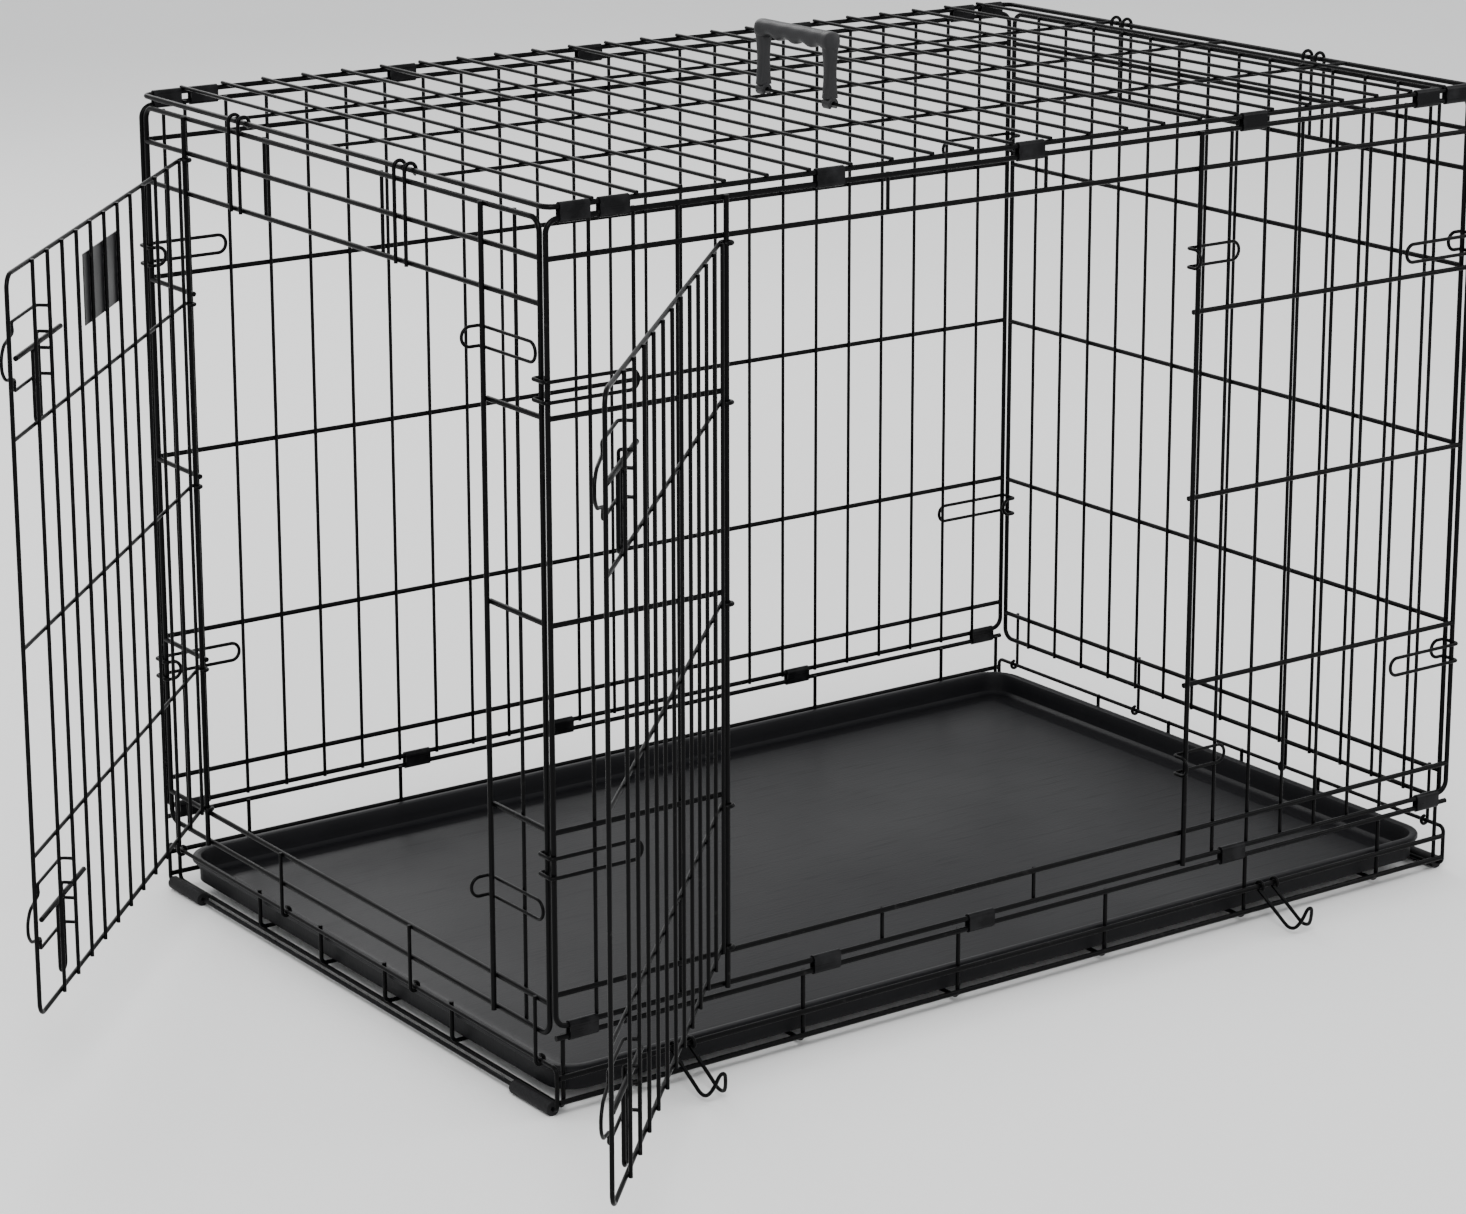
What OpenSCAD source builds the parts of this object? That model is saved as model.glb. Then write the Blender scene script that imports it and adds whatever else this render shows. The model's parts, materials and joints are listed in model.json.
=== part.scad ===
// Folding wire dog crate with two doors, drawn in millimetres.
// +X runs along the crate to the right, +Y to the rear, +Z up.
// The origin is on the floor at the middle of the cage.

/* [Cage] */
// Length of the cage over its end panels
cage_l = 914; // [760:1:1220]
// Width of the cage over its side rails
cage_w = 608; // [500:1:760]
// Height of the cage over the top panel
cage_h = 686; // [560:1:840]

/* [Wire] */
// Diameter of the frame wire round every panel
frame_d = 4.2; // [3.4:0.1:5.4]
// Diameter of the bars that fill the panels
mesh_d = 3; // [2.4:0.1:3.4]
// Diameter of the floor wire, which also makes the end hinge rails
floor_d = 3.4; // [2.8:0.1:4.2]
// Diameter of the door frame wire
door_d = 3.4; // [2.8:0.1:4.2]
// Depth to which two crossing wires melt together at a weld
weld = 0.35; // [0.2:0.05:0.6]
// Running gap round every wire that turns or slides
gap = 0.4; // [0.3:0.05:0.8]
// Radius on the centre line of the panel corners
corner_r = 10; // [8:0.5:11]
// Radius on the centre line of the top panel corners
top_corner_r = 8.5; // [6:0.5:8.5]
// Radius on the centre line of the tight bends
bend_r = 5; // [4:0.5:8]

/* [Base] */
// Height of the side hinge rails of the base
side_rail_z = 63; // [55:1:80]
// Height of the end hinge rails of the base
end_rail_z = 39; // [36:1:46]
// Height of the rail half way up the sides of the base
mid_rail_z = 31; // [28:1:34]
// Distance between the two wires that a rail clip joins
clip_pitch = 8.5; // [7:0.5:11]
// Length of one rail clip
clip_l = 25; // [16:1:27]
// Thickness of the clip sheet
clip_t = 1; // [0.8:0.1:1.4]
// Outer diameter of a foot sleeve
foot_d = 11; // [9:0.5:14]
// Length of a foot sleeve
foot_l = 52; // [30:1:80]

/* [Pan] */
// Height of the pan rim over the pan floor
pan_depth = 22; // [14:1:22]
// Thickness of the pan wall
pan_t = 2.2; // [1.8:0.1:3]
// Width of the rolled rim
pan_rim = 6; // [4:0.5:9]

/* [Panels] */
// Number of gaps between the bars of a side panel
side_gaps = 24; // [20:1:32]
// Number of gaps between the bars of an end panel
end_gaps = 15; // [13:2:21]
// Distance from the top rail down to the second rail
second_drop = 28; // [20:1:40]
// Distance from the second rail down to the third rail of an end panel
third_drop = 33; // [20:1:45]
// Height of the low rail of every panel
low_row_z = 222; // [212:1:260]
// Height of the middle rail of every panel
mid_row_z = 378; // [300:1:430]
// Height of the high rail of every panel
high_row_z = 530; // [480:1:535]
// Height of the door sill of the side panel
side_sill_z = 97; // [86:1:130]
// Height of the door sill of the end panels
end_sill_z = 88; // [80:1:130]
// Height of the bottom rail of the end panels
end_foot_z = 63; // [56:1:72]

/* [Doors] */
// Bars between the left corner and the side door opening
front_left_gaps = 4; // [2:1:8]
// Width of the side door opening in bar gaps
front_open_gaps = 12; // [8:1:14]
// Distance from a corner to the end door opening
end_jamb = 71; // [60:1:110]
// Overlap of each door past its opening
door_lap = 12; // [10:1:16]
// Number of upright bars in a door
door_bars = 12; // [8:1:14]
// Gap between the free edge of a door and its first bar
door_first_gap = 52; // [44:1:60]
// Angle at which the side door stands open
front_door_open = 134; // [0:1:160]
// Angle at which the end door stands open
end_door_open = 43; // [0:1:150]

/* [Latches] */
// Diameter of a latch bolt
bolt_d = 4; // [3:0.1:5]
// Length of a latch bolt
bolt_l = 108; // [104:1:120]
// Length by which a closed bolt passes the free edge of its door
bolt_out = 12; // [8:1:16]
// Travel of a latch bolt
bolt_travel = 38; // [36:1:42]
// Distance from a door opening's edge to the eye of a keeper
eye_in = 9; // [8:0.5:11]
// Height of the handle that hangs from a bolt
bolt_drop = 56; // [40:1:64]
// Diameter of the wire of the latch guides
guide_d = 2.6; // [2.2:0.1:2.8]
// Diameter of the keeper wire
keeper_d = 2.6; // [2.2:0.1:2.8]
// Distance between the legs of a bolt's handle
bolt_handle_w = 13; // [10:0.5:14]
// Distance between the two wires of a keeper or a corner stop
pair_gap = 15; // [13:0.5:18]
// Height of the middle of the upper latches
latch_top_z = 575; // [440:1:600]
// Height of the middle of the lower latches
latch_low_z = 157; // [130:1:180]

/* [Hooks and handle] */
// Height of the upper corner stops
stop_top_z = 550; // [440:1:600]
// Height of the lower corner stops
stop_low_z = 196; // [170:1:215]
// Radius of the curl at the top of an end panel hook
curl_r = 5; // [4.5:0.5:7]
// Distance between the two legs of a carrying hook
carry_w = 16; // [12:1:20]
// Length of a carrying hook
carry_l = 50; // [40:1:54]
// Height of the upturned tip of a carrying hook
carry_tip = 22; // [10:1:24]
// Wire diameter of a carrying hook
carry_d = 3; // [2.6:0.1:3.4]
// Angle below the horizontal at which a carrying hook rests
carry_down = 31; // [24:1:31]
// Length of the handle along the crate top
handle_l = 90; // [80:1:120]
// Height of the handle over the bar that it hangs on
handle_h = 50; // [40:1:60]
// Thickness of the handle grip
handle_t = 15; // [12:1:20]

/* [Hidden] */
$fn = 32;
big = 2000;

frame_r = frame_d / 2;
mesh_r = mesh_d / 2;
door_r = door_d / 2;
bolt_r = bolt_d / 2;
hook_r = carry_d / 2;
// Distances between the middles of two wires that are welded across each other
frame_on_frame = frame_d - weld;
mesh_on_frame = frame_r + mesh_r - weld;
mesh_on_door = door_r + mesh_r - weld;
mesh_on_mesh = mesh_d - weld;
floor_on_floor = floor_d - weld;
floor_on_frame = (floor_d + frame_d) / 2 - weld;

// Planes of the panels
end_x = cage_l / 2 - frame_r;
side_y = cage_w / 2 - frame_r;
post_x = end_x;
end_post_y = side_y - floor_on_frame - floor_d / 2 - frame_r - 0.8;
side_pitch = 2 * post_x / side_gaps;
end_pitch = 2 * end_post_y / end_gaps;

// Heights
top_rail_z = cage_h - mesh_d - frame_r + weld;
panel_top_z = top_rail_z - clip_pitch;
panel_low_z = side_rail_z + clip_pitch;
second_z = panel_top_z - second_drop;
third_z = second_z - third_drop;
rows = [low_row_z, mid_row_z, high_row_z];
runner_z = foot_d / 2;
floor_y_z = runner_z + 0.6;
floor_x_z = floor_y_z + floor_on_floor;
pan_z = floor_x_z + floor_d / 2 + 0.1;

// Door openings and the rings by which things hang on a wire
front_hinge_x = -post_x + front_left_gaps * side_pitch;
front_latch_x = front_hinge_x + front_open_gaps * side_pitch;
end_hinge_y = end_post_y - end_jamb;
end_latch_y = -end_hinge_y;
jamb_off = frame_on_frame;
door_ring_r = frame_r + gap + door_r;
end_ring_r = floor_d / 2 + gap + mesh_r;
carry_ring_r = frame_r + gap + hook_r;
hinge_x = end_x + mesh_on_frame - end_ring_r;
front_door_w = front_latch_x - front_hinge_x + door_lap;
end_door_w = end_hinge_y - end_latch_y + door_lap;

// Radius of the round ends of keepers and corner stops
round_r = pair_gap / 2 - 0.1;

// Latch planes, measured outward from the hinge of the door
bar_off = door_ring_r - mesh_on_door;
bolt_off = door_ring_r + door_r + gap + bolt_r;
guide_off = bolt_off + bolt_r + gap + guide_d / 2;

// Positions along the crate of the floor wires and of what stands on them
floor_xs = [for (i = [-5:2:5]) i * 2 * side_pitch];
floor_ys = [-150, -50, 50, 150] * cage_w / 608;
corner_wire_x = post_x - 8;
top_cells = [0, 1, 6, 11, 17, 22, 23];
base_cells = [0, 6, 10, 17, 23];
loop_ys = [-1, -0.36, 0.36, 1] * (end_post_y - 15);
first_bar = 11;
end_bar_step = (end_door_w - door_first_gap - first_bar) / (door_bars - 1);
hook_ys = [for (k = [door_bars - 3, 2]) end_hinge_y - first_bar - k * end_bar_step];
carry_xs = [-342, 250] * cage_l / 914;
top_end_x = end_x + mesh_on_frame - curl_r;
handle_x = -post_x + (side_gaps / 2 - 1) * side_pitch;
handle_z = top_rail_z + mesh_on_frame;
handle_y = -30 * cage_w / 608;

function unit(v) = v / norm(v);
function turn(a, b, c) = acos(max(-1, min(1, unit(b - a) * unit(c - b))));
function bend_at(r, i) = is_list(r) ? r[i] : r;
function trim(p, i, r) = i <= 0 || i >= len(p) - 1 ? 0 : bend_at(r, i) * tan(turn(p[i - 1], p[i], p[i + 1]) / 2);

// A straight wire from one point to another
module rod(a, b, d) {
    v = b - a;
    translate(a)
        rotate([0, acos(v[2] / norm(v)), atan2(v[1], v[0])])
            cylinder(d = d, h = norm(v));
}

// A bent wire through a list of points, with one bend radius or a list of them
module wire(p, d, r) {
    for (i = [0:len(p) - 2]) {
        u = unit(p[i + 1] - p[i]);
        if (norm(p[i + 1] - p[i]) > trim(p, i, r) + trim(p, i + 1, r) + 0.01)
            rod(p[i] + u * trim(p, i, r), p[i + 1] - u * trim(p, i + 1, r), d);
    }
    if (len(p) > 2)
        for (i = [1:len(p) - 2]) {
            u = unit(p[i] - p[i - 1]);
            v = unit(p[i + 1] - p[i]);
            n = unit(v - u * (u * v));
            w = cross(u, n);
            c = p[i] - u * trim(p, i, r) + n * bend_at(r, i);
            multmatrix([[-n[0], u[0], w[0], c[0]], [-n[1], u[1], w[1], c[1]], [-n[2], u[2], w[2], c[2]]])
                rotate_extrude(angle = turn(p[i - 1], p[i], p[i + 1]))
                    translate([bend_at(r, i), 0])
                        circle(d = d);
        }
}

// Part of a ring round the Z axis, from the X axis through an angle
module arc(r, d, angle) {
    rotate_extrude(angle = angle)
        translate([r, 0])
            circle(d = d);
}

// One upright bar in the XZ plane
module upright(x, y, z1, z2, d) {
    rod([x, y, z1], [x, y, z2], d);
}

module wire_paint() {
    color([0.05, 0.05, 0.055]) children();
}

// ---- Base ----

module base_floor_grid() {
    y = side_y - floor_on_frame - bend_r;
    x = hinge_x - floor_on_floor - bend_r;
    wire_paint() {
        for (k = concat([-corner_wire_x, corner_wire_x], floor_xs))
            rod([k, -y, floor_y_z], [k, y, floor_y_z], floor_d);
        for (k = floor_ys)
            rod([-x, k, floor_x_z], [x, k, floor_x_z], floor_d);
    }
}

// A side of the base: two rails outside the turned-up ends of the floor wires
module base_side(side) {
    y = side_y - floor_on_frame;
    side_end_x = hinge_x - floor_d / 2 - 0.1;
    wire_paint()
        mirror([0, side > 0 ? 0 : 1, 0]) {
            rod([-post_x, side_y, side_rail_z], [post_x, side_y, side_rail_z], frame_d);
            for (z = [mid_rail_z, floor_y_z + bend_r + 0.5])
                rod([-side_end_x, side_y, z], [side_end_x, side_y, z], frame_d);
            for (x = concat([-corner_wire_x, corner_wire_x], floor_xs))
                wire([[x, y - bend_r, floor_y_z], [x, y, floor_y_z], [x, y, side_rail_z + 1]], floor_d, bend_r);
        }
}

module base_front_wall() {
    base_side(-1);
}

module base_rear_wall() {
    base_side(1);
}

// An end of the base: a closed wire loop with the hinge rail at its top,
// and the turned-up ends of the long floor wires inside it
module base_end(side) {
    x = hinge_x - floor_on_floor;
    wire_paint()
        mirror([side > 0 ? 0 : 1, 0, 0]) {
            wire([[hinge_x, 0, runner_z], [hinge_x, side_y, runner_z], [hinge_x, side_y, end_rail_z],
                [hinge_x, -side_y, end_rail_z], [hinge_x, -side_y, runner_z], [hinge_x, 0, runner_z]],
                floor_d, bend_r);
            for (y = floor_ys)
                wire([[x - bend_r, y, floor_x_z], [x, y, floor_x_z], [x, y, end_rail_z + 3]], floor_d, bend_r);
        }
}

module base_left_wall() {
    base_end(-1);
}

module base_right_wall() {
    base_end(1);
}

module foot_sleeves() {
    color([0.09, 0.09, 0.1])
        for (x = [-hinge_x, hinge_x])
            for (y = [-1, 1])
                translate([x, y * (side_y - bend_r - foot_l / 2 - 1), foot_d / 2])
                    rotate([90, 0, 0])
                        difference() {
                            cylinder(d = foot_d, h = foot_l, center = true);
                            cylinder(d = floor_d + 0.1, h = foot_l + 2, center = true);
                        }
}

// Outline of a rectangle with round corners, built from exact pieces
module plate(l, w, r, h) {
    linear_extrude(h) {
        square([l - 2 * r, w], center = true);
        square([l, w - 2 * r], center = true);
        for (x = [-1, 1])
            for (y = [-1, 1])
                translate([x * (l / 2 - r), y * (w / 2 - r)])
                    circle(r = r);
    }
}

module floor_pan() {
    l = 2 * (hinge_x - floor_on_floor - floor_d / 2 - 1.4);
    w = 2 * (side_y - floor_on_frame - floor_d / 2 - 1.2);
    li = l - 2 * pan_rim;
    wi = w - 2 * pan_rim;
    color([0.16, 0.16, 0.17])
        translate([0, 0, pan_z])
            difference() {
                union() {
                    plate(li, wi, 24, pan_depth);
                    translate([0, 0, pan_depth - pan_t])
                        plate(l, w, 24 + pan_rim, pan_t);
                }
                translate([0, 0, pan_t])
                    plate(li - 2 * pan_t, wi - 2 * pan_t, 24 - pan_t, pan_depth);
            }
}

// ---- Rail clips ----

// A sheet clip bent round two parallel rails, the upper one at its origin
module rail_clip() {
    r = frame_r + 0.15;
    rotate([90, 0, 90])
        linear_extrude(clip_l, center = true)
            difference() {
                union() {
                    circle(r = r + clip_t);
                    translate([0, -clip_pitch])
                        circle(r = r + clip_t);
                    translate([-r - clip_t, -clip_pitch])
                        square([2 * (r + clip_t), clip_pitch]);
                }
                circle(r = r);
                translate([0, -clip_pitch])
                    circle(r = r);
                translate([-r, -clip_pitch])
                    square([2 * r, clip_pitch]);
            }
}

// Clips in numbered gaps between the bars, those at the corners kept off the bends
module clip_row(y, z, cells) {
    last = min(post_x - corner_r, top_end_x - top_corner_r) - clip_l / 2 - 0.5;
    color([0.07, 0.07, 0.075])
        for (k = cells)
            translate([max(-last, min(last, -post_x + (k + 0.5) * side_pitch)), y, z])
                rail_clip();
}

module base_front_clips() {
    clip_row(-side_y, panel_low_z, base_cells);
}

module base_rear_clips() {
    clip_row(side_y, panel_low_z, base_cells);
}

module top_front_clips() {
    clip_row(-side_y, top_rail_z, top_cells);
}

module top_rear_clips() {
    clip_row(side_y, top_rail_z, top_cells);
}

// ---- Side panels ----

// Upright bars of a side panel, from one numbered bar to another
module side_bars(y, k1, k2, z1, z2) {
    if (k2 >= k1)
        for (k = [k1:k2])
            upright(-post_x + k * side_pitch, y, z1, z2, mesh_d);
}

module rear_panel() {
    y = side_y;
    wire_paint() {
        wire([[0, y, panel_top_z], [post_x, y, panel_top_z], [post_x, y, panel_low_z], [-post_x, y, panel_low_z],
            [-post_x, y, panel_top_z], [0, y, panel_top_z]], frame_d, corner_r);
        for (z = concat([second_z, side_sill_z], rows))
            rod([-post_x, y, z], [post_x, y, z], frame_d);
        side_bars(y - mesh_on_frame, 1, side_gaps - 1, panel_low_z - 1.5, panel_top_z + 1.5);
    }
}

module front_panel_left() {
    x = front_hinge_x;
    wire_paint() {
        wire([[x + 3, -side_y, panel_top_z], [-post_x, -side_y, panel_top_z], [-post_x, -side_y, panel_low_z],
            [x + 3, -side_y, panel_low_z]], frame_d, corner_r);
        for (z = rows)
            rod([-post_x, -side_y, z], [x + 1, -side_y, z], frame_d);
        for (z = [second_z, side_sill_z])
            rod([-post_x, -side_y, z], [x + 3, -side_y, z], frame_d);
        side_bars(-side_y + mesh_on_frame, 1, front_left_gaps - 1, panel_low_z - 1.5, panel_top_z + 1.5);
        upright(x, -side_y - jamb_off, panel_low_z - 2, panel_top_z + 2, frame_d);
    }
}

module front_panel_right() {
    x = front_latch_x;
    wire_paint() {
        wire([[x - 3, -side_y, panel_top_z], [post_x, -side_y, panel_top_z], [post_x, -side_y, panel_low_z],
            [x - 3, -side_y, panel_low_z]], frame_d, corner_r);
        for (z = rows)
            rod([x - 1, -side_y, z], [post_x, -side_y, z], frame_d);
        for (z = [second_z, side_sill_z])
            rod([x - 3, -side_y, z], [post_x, -side_y, z], frame_d);
        side_bars(-side_y + mesh_on_frame, front_left_gaps + front_open_gaps + 1, side_gaps - 1,
            panel_low_z - 1.5, panel_top_z + 1.5);
        upright(x, -side_y - jamb_off, panel_low_z - 2, panel_top_z + 2, frame_d);
    }
}

module front_panel_header() {
    inset = 4 * side_pitch;
    wire_paint() {
        rod([front_hinge_x + 3.1, -side_y, panel_top_z], [front_latch_x - 3.1, -side_y, panel_top_z], frame_d);
        rod([front_hinge_x + 3.1, -side_y, second_z], [front_latch_x - 3.1, -side_y, second_z], frame_d);
        for (x = [front_hinge_x + inset, front_latch_x - inset])
            upright(x, -side_y + mesh_on_frame, second_z - 1.5, panel_top_z + 1.5, mesh_d);
    }
}

module front_panel_sill() {
    inset = 4 * side_pitch;
    wire_paint() {
        rod([front_hinge_x + 3.1, -side_y, panel_low_z], [front_latch_x - 3.1, -side_y, panel_low_z], frame_d);
        rod([front_hinge_x + 3.1, -side_y, side_sill_z], [front_latch_x - 3.1, -side_y, side_sill_z], frame_d);
        for (x = [front_hinge_x + inset, front_latch_x - inset])
            upright(x, -side_y + mesh_on_frame, panel_low_z - 1.5, side_sill_z + 1.5, mesh_d);
    }
}

// ---- Corner stops ----

// A closed wire that lies on a side panel and is bent round the end panel's post,
// open toward the inside so that the post can leave it when the end panel folds
module corner_stop(z) {
    x = end_x + frame_r + gap + mesh_r;
    y = side_y + mesh_on_frame;
    yi = end_post_y - frame_r - gap - mesh_r - 2;
    h = pair_gap / 2;
    wire([[post_x - 40, y, z + h], [x, y, z + h], [x, yi, z + h], [x - 14, yi, z + h], [x - 14, yi, z - h],
        [x, yi, z - h], [x, y, z - h], [post_x - 75, y, z - h], [post_x - 75, y, z + h],
        [post_x - 40, y, z + h]], mesh_d, [0, 3, 3, round_r, round_r, 3, 3, round_r, round_r, 0]);
}

module corner_stops(side) {
    wire_paint()
        mirror([0, side > 0 ? 0 : 1, 0])
            for (m = [0, 1])
                mirror([m, 0, 0])
                    for (z = [stop_top_z, stop_low_z])
                        corner_stop(z);
}

module rear_corner_stops() {
    corner_stops(1);
}

module front_corner_stops() {
    corner_stops(-1);
}

// ---- Top panel ----

module top_panel() {
    x = top_end_x;
    z = top_rail_z;
    long_z = handle_z - mesh_on_mesh;
    wire_paint() {
        wire([[0, -side_y, z], [x, -side_y, z], [x, side_y, z], [-x, side_y, z], [-x, -side_y, z], [0, -side_y, z]],
            frame_d, top_corner_r);
        for (y = [-152, 0, 152] * cage_w / 608)
            rod([-x, y, long_z], [x, y, long_z], mesh_d);
        for (k = [1:side_gaps - 1])
            rod([-post_x + k * side_pitch, -side_y - 2, handle_z],
                [-post_x + k * side_pitch, side_y + 2, handle_z], mesh_d);
    }
}

// ---- End panels ----

// Hinge loops round the end rail of the base, each on a wire that rises to the sill
module end_loops(ys) {
    for (y = ys) {
        rod([end_x + mesh_on_frame, y, end_rail_z], [end_x + mesh_on_frame, y, end_sill_z + 2], mesh_d);
        translate([hinge_x, y, end_rail_z])
            rotate([90, 0, 0])
                rotate([0, 0, 90])
                    arc(end_ring_r, mesh_d, 270);
    }
}

// Upright bars of an end panel, inside its rails
module end_bars(ys, z1, z2) {
    for (y = ys)
        upright(end_x - mesh_on_frame, y, z1 - 1.5, z2 + 1.5, mesh_d);
}

// A pair of hook wires on the outer face of an end panel
module end_hook_legs(top_z) {
    for (y = hook_ys)
        for (i = [-0.5, 0.5])
            upright(end_x + mesh_on_frame, y + i * pair_gap, third_z - 2, top_z, mesh_d);
}

// Everything of the left end panel is drawn at +X and mirrored
module at_left() {
    wire_paint()
        mirror([1, 0, 0])
            children();
}

// The part of the left end panel between a corner and the door opening
module end_side_part(y, bar) {
    s = sign(y);
    wire([[end_x, y - s * 3, panel_top_z], [end_x, s * end_post_y, panel_top_z],
        [end_x, s * end_post_y, end_foot_z], [end_x, y - s * 3, end_foot_z]], frame_d, corner_r);
    for (z = rows)
        rod([end_x, y - s, z], [end_x, s * end_post_y, z], frame_d);
    for (z = [second_z, third_z, end_sill_z])
        rod([end_x, y - s * 3, z], [end_x, s * end_post_y, z], frame_d);
    upright(end_x + jamb_off, y, end_foot_z - 2, panel_top_z + 2, frame_d);
    end_bars([bar], end_foot_z, panel_top_z);
    end_loops([s * (end_post_y - 15)]);
}

module left_end_rear_bars() {
    at_left() end_side_part(end_hinge_y, end_post_y - 0.34 * end_jamb);
}

module left_end_front_bars() {
    at_left() end_side_part(end_latch_y, -end_post_y + 0.52 * end_jamb);
}

module left_end_header() {
    y = end_hinge_y - 3.1;
    at_left() {
        rod([end_x, -y, panel_top_z], [end_x, y, panel_top_z], frame_d);
        for (z = [second_z, third_z])
            rod([end_x, -y, z], [end_x, y, z], frame_d);
        end_bars([-74, 104] * cage_w / 608, third_z, panel_top_z);
    }
}

module left_end_sill() {
    y = end_hinge_y - 3.1;
    at_left() {
        rod([end_x, -y, end_foot_z], [end_x, y, end_foot_z], frame_d);
        rod([end_x, -y, end_sill_z], [end_x, y, end_sill_z], frame_d);
        end_loops([loop_ys[1], loop_ys[2]]);
    }
}

// Wires that rise on the end panel and curl over the end rail of the top panel
module left_end_hooks() {
    at_left()
        translate([weld + 0.1, 0, 0]) {
            end_hook_legs(top_rail_z);
            for (y = hook_ys)
                for (i = [-0.5, 0.5])
                    translate([end_x + mesh_on_frame - curl_r, y + i * pair_gap, top_rail_z])
                        rotate([90, 0, 0])
                            arc(curl_r, mesh_d, 230);
        }
}

module right_end_panel() {
    y = end_post_y;
    wire_paint() {
        wire([[end_x, 0, panel_top_z], [end_x, y, panel_top_z], [end_x, y, end_foot_z], [end_x, -y, end_foot_z],
            [end_x, -y, panel_top_z], [end_x, 0, panel_top_z]], frame_d, corner_r);
        for (z = concat([second_z, third_z, end_sill_z], rows))
            rod([end_x, -y, z], [end_x, y, z], frame_d);
        end_bars([for (k = [1:end_gaps - 1]) -y + k * end_pitch], end_foot_z, panel_top_z);
        end_loops(loop_ys);
    }
}

module right_end_hooks() {
    wire_paint()
        translate([weld + 0.1, 0, 0])
            end_hook_legs(panel_top_z + 3);
}

// ---- Doors ----

// The hinge of each door is its local Z axis, the closed door lies along +X,
// and the outside of the crate is toward -Y
module at_front(angle) {
    translate([front_hinge_x, -side_y - jamb_off, 0])
        rotate([0, 0, -angle])
            children();
}

module at_end(angle) {
    translate([-end_x - jamb_off, end_hinge_y, 0])
        rotate([0, 0, -90 - angle])
            children();
}

// A horizontal door wire's ring round the edge of the opening
module door_ring(z, d) {
    translate([0, 0, z])
        arc(door_ring_r, d, 270);
}

module door_grid(w, z1, z2) {
    y = -door_ring_r;
    step = (w - door_first_gap - first_bar) / (door_bars - 1);
    mid_d = door_d - 0.4;
    wire_paint() {
        wire([[0, y, z2], [w, y, z2], [w, y, z1], [0, y, z1]], door_d, corner_r);
        for (z = [z1, z2])
            door_ring(z, door_d);
        for (z = rows) {
            rod([0, y, z - 8], [w, y, z - 8], mid_d);
            door_ring(z - 8, mid_d);
        }
        for (k = [0:door_bars - 1])
            upright(first_bar + k * step, -bar_off, z1 - 1.5, z2 + 1.5, mesh_d);
    }
}

module front_door() {
    at_front(front_door_open) door_grid(front_door_w, side_sill_z + 5, second_z - 5);
}

module end_door() {
    at_end(end_door_open) door_grid(end_door_w, end_sill_z + 5, second_z - 5);
}

// The bow and the staple that hold a latch bolt to the outside of a door
module latch_guide(w, z) {
    in_y = -bar_off - mesh_r - 0.05;
    step = (w - door_first_gap - first_bar) / (door_bars - 1);
    x = floor(w - door_first_gap - step);
    wire([[x, in_y, z + 25], [x, -guide_off, z + 25], [w - 5, -guide_off, z + 25], [w - 5, -guide_off, z - 25],
        [x, -guide_off, z - 25], [x, in_y, z - 25]], guide_d, [0, 2.6, 12, 12, 2.6, 0]);
    wire([[x, in_y, z + 6], [x, -guide_off, z + 6], [x, -guide_off, z - 6], [x, in_y, z - 6]], guide_d, 2.6);
}

module latch_guides(w) {
    wire_paint()
        for (z = [latch_top_z, latch_low_z])
            latch_guide(w, z);
}

module front_latch_guides() {
    at_front(front_door_open) latch_guides(front_door_w);
}

module end_latch_guides() {
    at_end(end_door_open) latch_guides(end_door_w);
}

// A bolt drawn back as far as it goes, with a bent wire handle hanging from it
module latch_bolt(w, z) {
    tip = w + bolt_out - bolt_travel;
    x = w - door_first_gap - 14;
    wire_paint() {
        rod([tip, -bolt_off, z], [tip - bolt_l, -bolt_off, z], bolt_d);
        wire([[x, -bolt_off, z], [x, -bolt_off, z - bolt_drop], [x - bolt_handle_w, -bolt_off, z - bolt_drop],
            [x - bolt_handle_w, -bolt_off, z]], bolt_d - 0.8, bend_r);
    }
}

module front_upper_bolt() {
    at_front(front_door_open) latch_bolt(front_door_w, latch_top_z);
}

module front_lower_bolt() {
    at_front(front_door_open) latch_bolt(front_door_w, latch_low_z);
}

module end_upper_bolt() {
    at_end(end_door_open) latch_bolt(end_door_w, latch_top_z);
}

module end_lower_bolt() {
    at_end(end_door_open) latch_bolt(end_door_w, latch_low_z);
}

// A closed wire behind the edge of the opening, bent outward into an eye for the bolt
module keeper(opening, z, pitch) {
    x = opening - eye_in;
    far = opening + 1.2 * pitch;
    h = pair_gap / 2;
    wire([[far - 10, jamb_off, z + h], [x, jamb_off, z + h], [x, -guide_off, z + h], [x, -guide_off, z - h],
        [x, jamb_off, z - h], [far, jamb_off, z - h], [far, jamb_off, z + h], [far - 10, jamb_off, z + h]],
        keeper_d, [0, 3, round_r, round_r, 3, round_r, round_r, 0]);
}

module front_keepers() {
    wire_paint()
        at_front(0)
            for (z = [latch_top_z, latch_low_z])
                keeper(front_latch_x - front_hinge_x, z, side_pitch);
}

module end_keepers() {
    wire_paint()
        at_end(0)
            for (z = [latch_top_z, latch_low_z])
                keeper(end_hinge_y - end_latch_y, z, 0.75 * end_jamb);
}

module end_door_plate() {
    color([0.12, 0.12, 0.13])
        at_end(end_door_open)
            translate([end_door_w - 272, -bar_off - mesh_r - 0.9, 565])
                cube([92, 0.8, 54]);
}

// ---- Carrying hooks and handle ----

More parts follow.
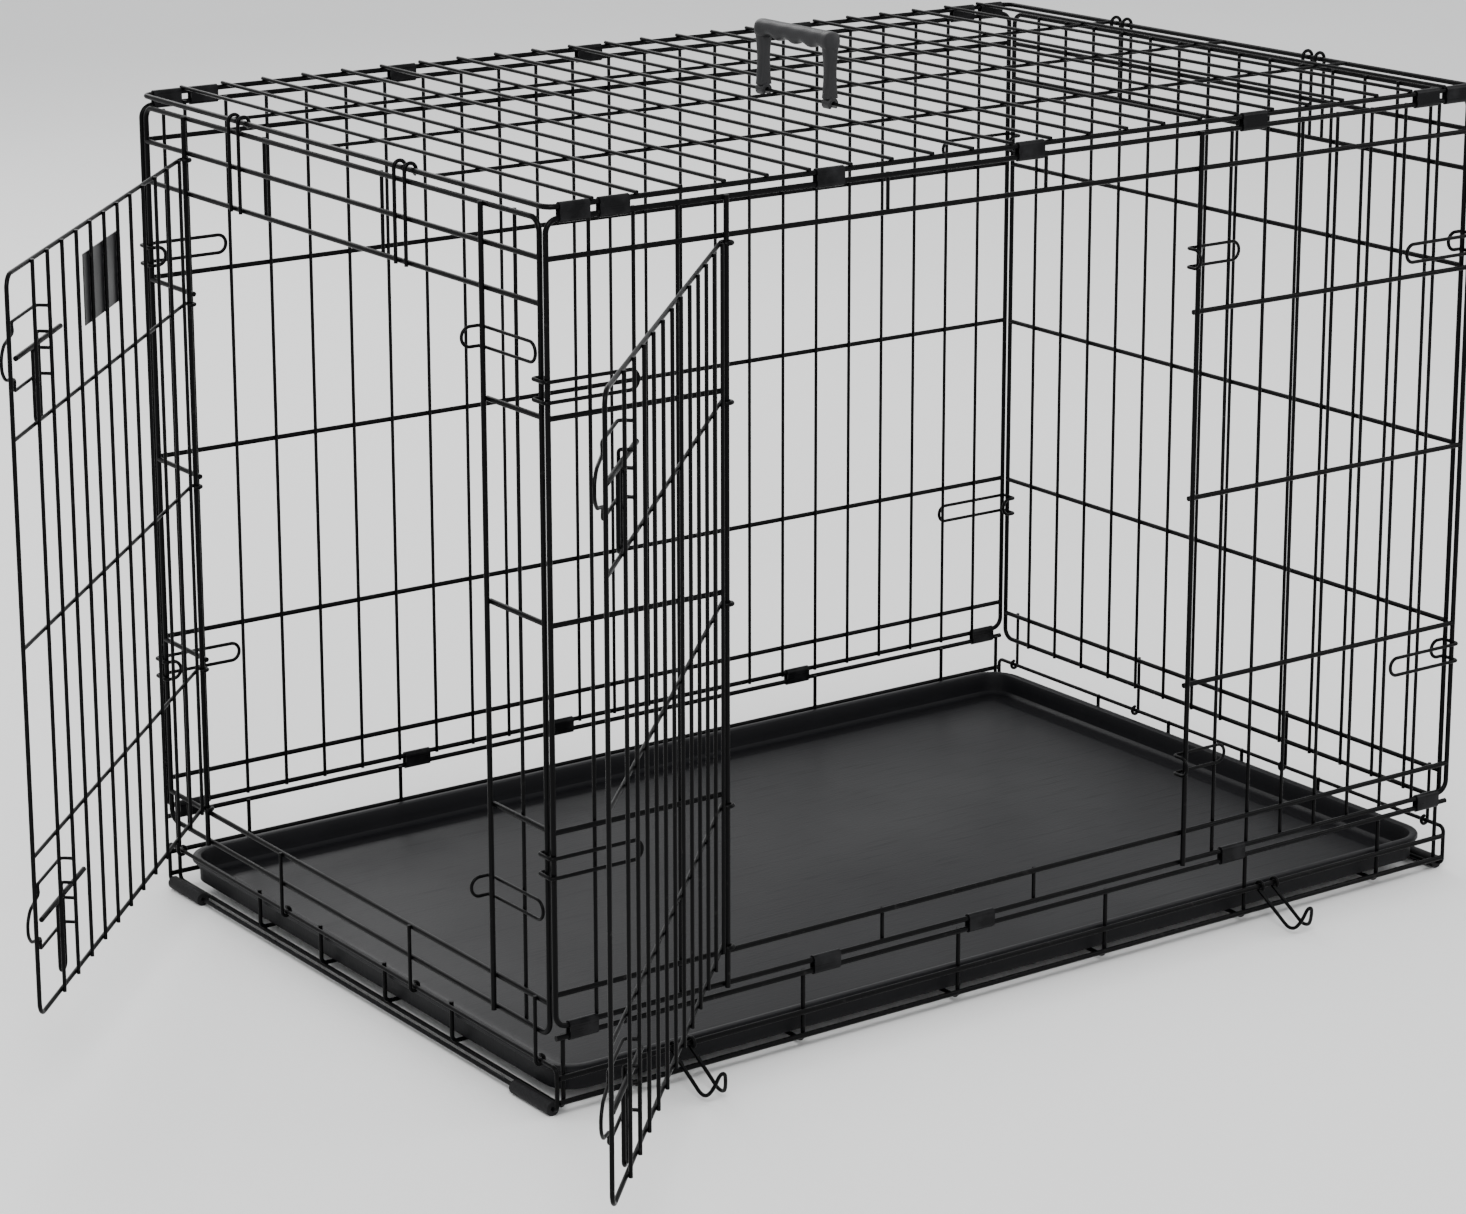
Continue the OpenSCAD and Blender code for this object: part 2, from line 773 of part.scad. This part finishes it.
module carry_hook(x) {
    r = carry_ring_r;
    w = carry_w / 2;
    wire_paint()
        translate([x, -side_y, mid_rail_z])
            rotate([carry_down, 0, 0]) {
                wire([[-w, 0, -r], [-w, -carry_l, -r], [-w, -carry_l, carry_tip], [w, -carry_l, carry_tip],
                    [w, -carry_l, -r], [w, 0, -r]], carry_d, bend_r);
                for (i = [-w, w])
                    translate([i, 0, 0])
                        rotate([90, 0, 90])
                            rotate([0, 0, -90])
                                arc(r, carry_d, 270);
            }
}

module left_carry_hook() {
    carry_hook(carry_xs[0]);
}

module right_carry_hook() {
    carry_hook(carry_xs[1]);
}

// A plastic handle with a finger grip, snapped on a bar of the top panel
module carry_handle() {
    ring_r = mesh_r + gap;
    outer_r = ring_r + 3.6;
    finger = (handle_l - 12) / 4;
    color([0.17, 0.17, 0.18])
        translate([handle_x, handle_y, handle_z])
            rotate([90, 0, 0])
                difference() {
                    union() {
                        for (i = [-1, 1])
                            translate([0, 0, i * handle_l / 2]) {
                                cylinder(r = outer_r, h = 12, center = true);
                                translate([-outer_r, 0, -6])
                                    cube([2 * outer_r, handle_h, 12]);
                            }
                        translate([0, handle_h, -handle_l / 2 - 6])
                            cylinder(d = handle_t, h = handle_l + 12);
                    }
                    translate([0, 0, -handle_l])
                        cylinder(r = ring_r, h = 2 * handle_l);
                    translate([-ring_r + 0.3, -outer_r - 1, -handle_l])
                        cube([2 * ring_r - 0.6, outer_r + 1, 2 * handle_l]);
                    for (i = [-1.5:1.5])
                        translate([-handle_t, handle_h - handle_t / 2 - finger * 0.42, i * finger])
                            rotate([0, 90, 0])
                                cylinder(r = finger * 0.52, h = 2 * handle_t);
                }
}

base_floor_grid();
base_front_wall();
base_rear_wall();
base_left_wall();
base_right_wall();
foot_sleeves();
floor_pan();
base_front_clips();
base_rear_clips();
top_front_clips();
top_rear_clips();
rear_panel();
rear_corner_stops();
top_panel();
front_panel_left();
front_panel_right();
front_panel_header();
front_panel_sill();
front_corner_stops();
front_keepers();
left_end_rear_bars();
left_end_front_bars();
left_end_header();
left_end_sill();
left_end_hooks();
end_keepers();
right_end_panel();
right_end_hooks();
front_door();
front_latch_guides();
front_upper_bolt();
front_lower_bolt();
end_door();
end_latch_guides();
end_upper_bolt();
end_lower_bolt();
end_door_plate();
left_carry_hook();
right_carry_hook();
carry_handle();
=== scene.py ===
"""Looks of the wire dog crate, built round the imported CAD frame."""
import json
import math

import bmesh
import bpy
from mathutils import Matrix, Vector


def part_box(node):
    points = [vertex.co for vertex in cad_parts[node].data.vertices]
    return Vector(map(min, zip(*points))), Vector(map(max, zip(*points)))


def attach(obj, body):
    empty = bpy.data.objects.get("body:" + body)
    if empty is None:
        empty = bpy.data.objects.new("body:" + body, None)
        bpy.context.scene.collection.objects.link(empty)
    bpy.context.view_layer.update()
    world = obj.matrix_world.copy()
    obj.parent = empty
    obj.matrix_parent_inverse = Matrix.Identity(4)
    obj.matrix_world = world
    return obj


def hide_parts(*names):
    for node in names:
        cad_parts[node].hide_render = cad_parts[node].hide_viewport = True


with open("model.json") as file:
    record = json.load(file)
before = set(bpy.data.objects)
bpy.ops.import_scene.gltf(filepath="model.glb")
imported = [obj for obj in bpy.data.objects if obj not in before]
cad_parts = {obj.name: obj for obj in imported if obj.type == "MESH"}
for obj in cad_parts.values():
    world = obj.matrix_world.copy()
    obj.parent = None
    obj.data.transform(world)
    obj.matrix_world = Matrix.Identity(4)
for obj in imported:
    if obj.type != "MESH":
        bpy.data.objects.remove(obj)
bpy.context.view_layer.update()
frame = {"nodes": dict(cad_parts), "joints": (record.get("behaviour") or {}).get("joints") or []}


class Flow:
    """A node socket that can be added, multiplied and fed to other nodes."""

    def __init__(self, tree, out):
        self.tree = tree
        self.out = out

    def node(self, kind, links=(), out=0, **facts):
        """Makes a node, links or sets its inputs by name or number, returns one output."""
        made = self.tree.nodes.new(kind)
        for name, value in facts.items():
            setattr(made, name, value)
        for key, value in dict(links).items():
            if isinstance(value, Flow):
                self.tree.links.new(value.out, made.inputs[key])
            else:
                made.inputs[key].default_value = value
        return Flow(self.tree, made.outputs[out])

    def math(self, kind, a, b):
        return self.node("ShaderNodeMath", {0: a, 1: b}, operation=kind)

    def __add__(self, other):
        return self.math("ADD", self, other)

    def __radd__(self, other):
        return self.math("ADD", other, self)

    def __sub__(self, other):
        return self.math("SUBTRACT", self, other)

    def __rsub__(self, other):
        return self.math("SUBTRACT", other, self)

    def __mul__(self, other):
        return self.math("MULTIPLY", self, other)

    def __rmul__(self, other):
        return self.math("MULTIPLY", other, self)

    def noise(self, scale, detail=3.0):
        """Noise over this vector, from 0 to 1."""
        return self.node("ShaderNodeTexNoise", {"Vector": self, "Scale": scale, "Detail": detail})

    def ramp(self, low, high, start=0.0, end=1.0):
        """Moves low..high to start..end and holds it there."""
        return self.node(
            "ShaderNodeMapRange",
            {"Value": self, "From Min": low, "From Max": high, "To Min": start, "To Max": end},
        )

    def between(self, a, b):
        """A colour between a and b by this value."""
        return self.node("ShaderNodeMix", {0: self, 6: (*a, 1), 7: (*b, 1)}, out=2, data_type="RGBA")

    def bump(self, height):
        """A normal from this value taken as a height in metres."""
        return self.node("ShaderNodeBump", {"Height": self, "Distance": height, "Strength": 1.0})


def material(name, recipe):
    """A material whose recipe returns the Principled inputs to set or link."""
    mat = bpy.data.materials.new(name)
    mat.use_nodes = True
    tree = mat.node_tree
    shader = tree.nodes["Principled BSDF"]
    place = Flow(tree, tree.nodes.new("ShaderNodeTexCoord").outputs["Object"])
    facing = Flow(tree, tree.nodes.new("ShaderNodeNewGeometry").outputs["Normal"])
    up = facing.node("ShaderNodeSeparateXYZ", {0: facing}, out=2)
    for key, value in recipe(place, up).items():
        if isinstance(value, Flow):
            tree.links.new(value.out, shader.inputs[key])
        else:
            shader.inputs[key].default_value = value
    return mat


def dress(mat, *names):
    """Gives CAD nodes one material in place of their own."""
    for name in names:
        node = frame["nodes"][name]
        node.data.materials.clear()
        node.data.materials.append(mat)


# Welded wire: glossy black dip coat over steel, slightly uneven where the coat ran,
# with a little dust on what faces up and small dull marks where wires rub.
def wire_coat(place, up):
    runs = place.noise(38.0)
    peel = place.noise(900.0, 2.0)
    marks = place.noise(160.0, 5.0).ramp(0.66, 0.72)
    dust = up.ramp(0.55, 1.0) * place.noise(12.0, 4.0).ramp(0.35, 0.7)
    return {
        "Base Color": (dust * 0.1 + marks * 0.2).between((0.0018, 0.0018, 0.002), (0.04, 0.039, 0.038)),
        "Roughness": runs.ramp(0.3, 0.7, 0.24, 0.36) + dust * 0.12 + marks * 0.15,
        "Specular IOR Level": 0.06,
        "Normal": (peel * 0.3 + runs).bump(0.00012),
    }


wire = material("black_wire", wire_coat)
dress(
    wire, "base_floor_grid", "base_front_wall", "base_rear_wall", "base_left_wall", "base_right_wall",
    "rear_panel", "rear_corner_stops", "top_panel", "front_panel_left", "front_panel_right",
    "front_panel_header", "front_panel_sill", "front_corner_stops", "front_keepers",
    "left_end_rear_bars", "left_end_front_bars", "left_end_header", "left_end_sill", "left_end_hooks",
    "end_keepers", "right_end_panel", "right_end_hooks", "front_door", "front_latch_guides",
    "front_upper_bolt", "front_lower_bolt", "end_door", "end_latch_guides", "end_upper_bolt",
    "end_lower_bolt", "left_carry_hook", "right_carry_hook",
)


# Rail clips: bent sheet with the same black coat, smoother and brighter than the wire,
# with fine rolling lines along the sheet and soft blots.
def clip_coat(place, up):
    lines = place.node("ShaderNodeMapping", {"Vector": place, "Scale": (40.0, 900.0, 900.0)}).noise(1.0, 4.0)
    blots = place.noise(60.0, 4.0)
    return {
        "Base Color": blots.ramp(0.45, 0.75).between((0.003, 0.003, 0.0034), (0.012, 0.012, 0.013)),
        "Roughness": lines.ramp(0.3, 0.7, 0.24, 0.36) + blots.ramp(0.5, 0.8, 0.0, 0.12),
        "Specular IOR Level": 0.08,
        "Normal": (lines * 0.5 + blots).bump(0.00008),
    }


clip = material("clip_sheet", clip_coat)
dress(clip, "base_front_clips", "base_rear_clips", "top_front_clips", "top_rear_clips")


# Foot sleeves: dark rubber tube pushed over the end runners, matt, with a fine grain
# and pale scuffs on the side that meets the floor.
def foot_rubber(place, up):
    grain = place.noise(700.0, 4.0)
    scuffs = place.noise(90.0, 5.0).ramp(0.52, 0.68) * up.ramp(0.1, -0.7)
    return {
        "Base Color": (scuffs * 0.4 + grain * 0.1).between((0.006, 0.006, 0.0068), (0.06, 0.058, 0.056)),
        "Roughness": grain.ramp(0.3, 0.7, 0.55, 0.78),
        "Specular IOR Level": 0.15,
        "Normal": grain.bump(0.00025),
    }


dress(material("foot_rubber", foot_rubber), "foot_sleeves")


def ring(bm, x, y, r, z, corner=7):
    """A closed ring of points: a rectangle with half sizes x and y and round corners."""
    points = []
    for k in range(4):
        cx = (x - r) * (1, -1, -1, 1)[k]
        cy = (y - r) * (1, 1, -1, -1)[k]
        for i in range(corner + 1):
            a = (k + i / corner) * math.pi / 2
            points.append(bm.verts.new((cx + r * math.cos(a), cy + r * math.sin(a), z)))
    return points


def skin(bm, rings, first=True, last=True):
    """Faces between rings that follow one another, with the ends closed."""
    for a, b in zip(rings, rings[1:]):
        for i in range(len(a)):
            j = (i + 1) % len(a)
            bm.faces.new((a[i], a[j], b[j], b[i]))
    if first:
        bm.faces.new(rings[0][::-1])
    if last:
        bm.faces.new(rings[-1])


def piece(name, bm, mat, body, slot, *stands_for):
    """An object from a mesh, smooth by angle, that rides on a CAD body."""
    bmesh.ops.remove_doubles(bm, verts=bm.verts, dist=1e-6)
    bmesh.ops.recalc_face_normals(bm, faces=bm.faces)
    mesh = bpy.data.meshes.new(name)
    bm.to_mesh(mesh)
    bm.free()
    mesh.polygons.foreach_set("use_smooth", [True] * len(mesh.polygons))
    mesh.set_sharp_from_angle(angle=math.radians(35))
    mesh.materials.append(mat)
    obj = bpy.data.objects.new(name, mesh)
    bpy.context.scene.collection.objects.link(obj)
    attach(obj, body)
    if stands_for:
        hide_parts(*stands_for)
    return obj


# Floor pan: one vacuum-formed sheet with a rolled rim, soft inner bends and a shallow
# raised field in its floor, satin black and lightly scratched.
def pan_plastic(place, up):
    grain = place.noise(420.0, 4.0)
    scratch = place.node("ShaderNodeMapping", {"Vector": place, "Scale": (3.0, 60.0, 3.0)}).noise(6.0, 6.0)
    wear = scratch.ramp(0.56, 0.7)
    haze = place.noise(4.0, 3.0)
    return {
        "Base Color": (wear * 0.12 + haze * 0.3).between((0.0045, 0.0045, 0.0054), (0.0125, 0.0125, 0.014)),
        "Roughness": haze.ramp(0.3, 0.7, 0.36, 0.48) + wear * 0.06,
        "Specular IOR Level": 0.13,
        "Normal": (grain * 0.6 + scratch * 0.4).bump(0.0002),
    }


low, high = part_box("floor_pan")
half_x = (high[0] - low[0]) / 2
half_y = (high[1] - low[1]) / 2
bm = bmesh.new()
# Pairs of inset from the outer edge and height over the pan's lowest face
outline = [
    (0.0080, 0.0000), (0.0062, 0.0008), (0.0060, 0.0120), (0.0056, 0.0185),
    (0.0034, 0.0192), (0.0010, 0.0172), (0.0001, 0.0180), (0.0000, 0.0200),
    (0.0007, 0.0214), (0.0024, 0.0220), (0.0052, 0.0218), (0.0072, 0.0208),
    (0.0082, 0.0180), (0.0086, 0.0100), (0.0094, 0.0050), (0.0118, 0.0028),
    (0.0150, 0.0022), (0.0300, 0.0022), (0.0312, 0.0029), (0.0330, 0.0032),
]
corner_r = 0.03
least_r = 0.008
rings = [ring(bm, half_x - d, half_y - d, max(corner_r - d, least_r), low[2] + h) for d, h in outline]
skin(bm, rings)
piece("pan_sheet", bm, material("pan_plastic", pan_plastic), "cage", "pan_plastic", "floor_pan")


def tube(bm, points, radius, sides=14):
    """A round wire through points, with rounded ends."""
    path = [Vector(p) for p in points]
    tangents = [(path[min(i + 1, len(path) - 1)] - path[max(i - 1, 0)]).normalized() for i in range(len(path))]
    side = tangents[0].orthogonal().normalized()
    rings = []
    for i, (p, t) in enumerate(zip(path, tangents)):
        side = (side - t * side.dot(t)).normalized()
        other = t.cross(side)
        sizes = [(0.0, 1.0)]
        if i == 0:
            sizes = [(-0.55, 0.45), (-0.35, 0.85), (0.0, 1.0)]
        if i == len(path) - 1:
            sizes = [(0.0, 1.0), (0.35, 0.85), (0.55, 0.45)]
        for along, wide in sizes:
            rings.append([
                bm.verts.new(
                    p + t * along * radius
                    + (side * math.cos(k * math.tau / sides) + other * math.sin(k * math.tau / sides)) * radius * wide
                )
                for k in range(sides)
            ])
    skin(bm, rings)


def bent(corners, round_off=0.004, steps=6):
    """A path through corners with each inner one rounded off."""
    path = [Vector(corners[0])]
    for a, b, c in zip(corners, corners[1:], corners[2:]):
        a, b, c = Vector(a), Vector(b), Vector(c)
        start = b + (a - b).normalized() * min(round_off, (a - b).length * 0.48)
        stop = b + (c - b).normalized() * min(round_off, (c - b).length * 0.48)
        for i in range(steps + 1):
            t = i / steps
            path.append(start * (1 - t) ** 2 + b * 2 * t * (1 - t) + stop * t * t)
    return path + [Vector(corners[-1])]


# Latch guides: a wire bow that runs out from the second bar of a door, steps in and
# closes near the free edge, and a small staple on the same bar that carries the bolt.
joints = {joint["name"]: joint for joint in frame["joints"]}
guide_r = 0.0013
half_bow = 0.025
half_staple = 0.006
staple_bend = 0.0026
for side in ("front", "end"):
    low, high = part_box(side + "_latch_guides")
    out = Vector(joints[side + "_upper_bolt_slide"]["axis"]).normalized()
    face = Vector((out.y, -out.x, 0))
    pivot = Vector(joints[side + "_door_swing"]["pos_m"])
    pivot.z = 0
    guides = frame["nodes"][side + "_latch_guides"]
    spots = [guides.matrix_world @ v.co - pivot for v in guides.data.vertices]
    reach = max(p.dot(out) for p in spots) - guide_r
    bar = min(p.dot(out) for p in spots) + guide_r
    far = max(p.dot(face) for p in spots) - guide_r
    near = min(p.dot(face) for p in spots)
    half = [
        (bar, near, half_bow), (bar, far, half_bow), (reach - 0.026, far, half_bow),
        (reach - 0.029, far, 0.017), (reach - 0.007, far, 0.0125), (reach, far, 0.005),
    ]
    bow = half + [(a, b, -c) for a, b, c in half[::-1]]
    staple = [
        (bar, near, half_staple), (bar, far, half_staple), (bar, far, -half_staple), (bar, near, -half_staple),
    ]
    bm = bmesh.new()
    for z in (low[2] + half_bow + guide_r, high[2] - half_bow - guide_r):
        for corners, round_off in ((bow, 0.004), (staple, staple_bend)):
            points = [pivot + out * a + face * b + Vector((0, 0, z + c)) for a, b, c in corners]
            tube(bm, bent(points, round_off), guide_r)
    piece(side + "_latch_bows", bm, wire, side + "_door_leaf", "black_wire", side + "_latch_guides")


# Carrying hooks: each a pair of wires curled round the lower rail, run down and out,
# then turned up and drawn together in a round loop.
hook_r = 0.0015
eye = 0.004
eye_steps = 18
down = math.radians(31)
out = Vector((0, -math.cos(down), -math.sin(down)))
lift = Vector((0, -math.sin(down), math.cos(down)))
for side in ("left", "right"):
    low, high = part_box(side + "_carry_hook")
    half = (high[0] - low[0]) / 2 - hook_r
    pivot = Vector(joints[side + "_hook_swing"]["pos_m"])
    turns = [math.radians(270 - 15 * i) for i in range(eye_steps)]
    leg = [(half, -eye * math.sin(a), -eye * math.cos(a)) for a in turns]
    leg += [
        (half, 0.0435, -eye), (half * 0.95, 0.0498, 0.0015),
        (half * 0.6, 0.0496, 0.0120), (half * 0.3, 0.0470, 0.0216),
    ]
    both = [(-a, b, c) for a, b, c in leg] + leg[::-1]
    path = [pivot + Vector((a, 0, 0)) + out * b + lift * c for a, b, c in both]
    first, last = eye_steps - 1, len(path) - eye_steps + 1
    bm = bmesh.new()
    tube(bm, path[:first] + bent(path[first:last], 0.005) + path[last:], hook_r)
    piece(side + "_carry_hook_wire", bm, wire, side + "_hook", "black_wire", side + "_carry_hook")


# Hooks of the right end panel: pairs of wires that rise on its outer face and curl
# over the end rail of the top panel.
low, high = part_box("right_end_hooks")
leg_x = (low[0] + high[0]) / 2
wire_r = (high[0] - low[0]) / 2
rail_low, rail_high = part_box("top_panel")
rail_r = 0.0021
rail_x = rail_high[0] - rail_r
curl = leg_x - rail_x
rail_z = rail_low[2] + rail_r
pair = 0.0075
bm = bmesh.new()
for mid in (low[1] + wire_r + pair, high[1] - wire_r - pair):
    for y in (mid - pair, mid + pair):
        path = [(leg_x, y, low[2] + (rail_z - low[2]) * i / 6) for i in range(7)]
        path += [
            (rail_x + curl * math.cos(a), y, rail_z + curl * math.sin(a))
            for a in [math.radians(230) * i / 20 for i in range(1, 21)]
        ]
        tube(bm, path, wire_r)
piece("right_end_curled_hooks", bm, wire, "right_end", "black_wire", "right_end_hooks")


# Carrying handle: dark grey plastic, four finger hollows under a rounded grip, legs
# that narrow downward and end in clips round one bar of the top panel.
def handle_plastic(place, up):
    grain = place.noise(850.0, 3.0)
    mould = place.noise(18.0, 2.0)
    rub = up.ramp(0.6, 1.0) * place.noise(120.0, 5.0).ramp(0.5, 0.7)
    return {
        "Base Color": (mould * 0.4 + rub * 0.4).between((0.012, 0.012, 0.0132), (0.03, 0.03, 0.031)),
        "Roughness": grain.ramp(0.3, 0.7, 0.38, 0.52) - rub * 0.1,
        "Specular IOR Level": 0.25,
        "Normal": grain.bump(0.00022),
    }


grip_mat = material("handle_plastic", handle_plastic)
low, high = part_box("carry_handle")
mid_x = (low[0] + high[0]) / 2
half = (high[1] - low[1]) / 2
mid_y = (low[1] + high[1]) / 2
top = high[2]
bar_r = 0.0015
bar_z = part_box("top_panel")[1][2] - bar_r
bm = bmesh.new()
rings = []
count = 72
for i in range(count + 1):
    t = i / count * 2 - 1
    y = mid_y + half * t
    end = min(1.0, (1 - abs(t)) * half / 0.004)
    fill = math.sqrt(max(0.0, 1 - (1 - end) ** 2)) * 0.6 + 0.4
    inner = max(0.0, 1 - (abs(t) / 0.86) ** 12)
    hollow = 0.0032 * inner * (0.5 + 0.5 * math.cos(t / 0.86 * 4 * math.pi + math.pi))
    wide = (high[0] - low[0]) / 2 * fill * (1 - 0.08 * inner)
    z_top = top - (1 - fill) * 0.006
    z_low = top - 0.0155 + hollow + (1 - fill) * 0.004
    mid_z = (z_top + z_low) / 2
    tall = (z_top - z_low) / 2
    loop = []
    for k in range(24):
        a = k * math.tau / 24
        c, s = math.cos(a), math.sin(a)
        loop.append(bm.verts.new((
            mid_x + wide * math.copysign(abs(c) ** 0.8, c),
            y,
            mid_z + tall * math.copysign(abs(s) ** 0.8, s),
        )))
    rings.append(loop)
skin(bm, rings)
for sign in (-1, 1):
    y = mid_y + sign * (half - 0.006)
    rings = []
    for i in range(13):
        t = i / 12
        z = top - 0.010 - (top - 0.010 - bar_z - 0.0042) * t
        x = 0.0062 - 0.0018 * math.sin(t * math.pi)
        d = 0.0056 - 0.0012 * math.sin(t * math.pi / 2)
        rings.append([bm.verts.new((mid_x + v.x, y + v.y, z)) for v in [
            Vector((x * math.copysign(abs(math.cos(a)) ** 0.5, math.cos(a)),
                    d * math.copysign(abs(math.sin(a)) ** 0.5, math.sin(a)))) for a in
            [k * math.tau / 20 for k in range(20)]]])
    skin(bm, rings)
    rings = []
    for i in range(25):
        a = math.radians(-52 + 284 * i / 24)
        loop = []
        for r, w in ((0.0018, -0.0046), (0.0018, 0.0046), (0.0022, 0.0052), (0.0046, 0.0052),
                     (0.0051, 0.0045), (0.0051, -0.0045), (0.0046, -0.0052), (0.0022, -0.0052)):
            loop.append(bm.verts.new((mid_x + r * math.cos(a), y + w, bar_z + r * math.sin(a))))
        rings.append(loop)
    skin(bm, rings)
piece("handle_grip", bm, grip_mat, "handle", "handle_plastic", "carry_handle")


# Plate on the end door: a blank black plate with round corners and a raised border.
def plate_plastic(place, up):
    grain = place.noise(600.0, 3.0)
    smear = place.noise(30.0, 4.0)
    return {
        "Base Color": smear.between((0.004, 0.004, 0.0044), (0.011, 0.011, 0.012)),
        "Roughness": smear.ramp(0.3, 0.7, 0.28, 0.42),
        "Specular IOR Level": 0.2,
        "Normal": grain.bump(0.0001),
    }


dress(material("plate_plastic", plate_plastic), "end_door_plate")


# Floor and backdrop: one plain pale flat sheet that runs far out behind the crate.
def pale_sheet(place, up):
    tone = place.noise(1.5, 3.0)
    return {
        "Base Color": tone.between((0.86, 0.86, 0.855), (0.9, 0.9, 0.895)),
        "Roughness": 0.6 + tone * 0.1,
        "Normal": place.noise(260.0, 3.0).bump(0.0002),
    }


bm = bmesh.new()
bmesh.ops.create_grid(bm, x_segments=8, y_segments=8, size=12.0)
mesh = bpy.data.meshes.new("floor")
bm.to_mesh(mesh)
bm.free()
mesh.materials.append(material("pale_floor", pale_sheet))
floor = bpy.data.objects.new("floor", mesh)
bpy.context.scene.collection.objects.link(floor)

# Light: a pale room, one large soft lamp over the front left, a weaker one on the right
# and a large disk behind that draws the wires' edges.
world = bpy.data.worlds.new("room")
bpy.context.scene.world = world
world.use_nodes = True
world.node_tree.nodes["Background"].inputs[0].default_value = (0.98, 0.99, 1.0, 1)
world.node_tree.nodes["Background"].inputs[1].default_value = 1.05
for name, place, size, power in (
    ("key", (-1.8, -2.4, 2.9), 1.4, 90.0),
    ("fill", (3.0, -1.6, 2.0), 2.2, 30.0),
    ("back", (0.4, 3.0, 2.6), 2.4, 60.0),
):
    lamp = bpy.data.objects.new(name, bpy.data.lights.new(name, "AREA"))
    lamp.data.shape = "DISK"
    lamp.data.size = size
    lamp.data.energy = power
    lamp.location = place
    lamp.rotation_euler = (Vector((0, 0, 0.3)) - lamp.location).to_track_quat("-Z", "Y").to_euler()
    bpy.context.scene.collection.objects.link(lamp)

# Camera: stands off the front left corner a little over the crate's top.
camera = bpy.data.objects.new("camera", bpy.data.cameras.new("camera"))
bpy.context.scene.collection.objects.link(camera)
bpy.context.scene.camera = camera
camera.data.sensor_width = 36.0
camera.data.lens = 99.6
camera.data.shift_y = -0.1071
camera.data.clip_end = 60.0
away = Vector((0.56256, 0.78955, -0.24523)).normalized()
right = Vector((0.81418, -0.5806, -0.0016)).normalized()
turn = Matrix((right, right.cross(away), -away)).transposed()
camera.matrix_world = Matrix.Translation((-1.9583, -2.6365, 1.2093)) @ turn.to_4x4()
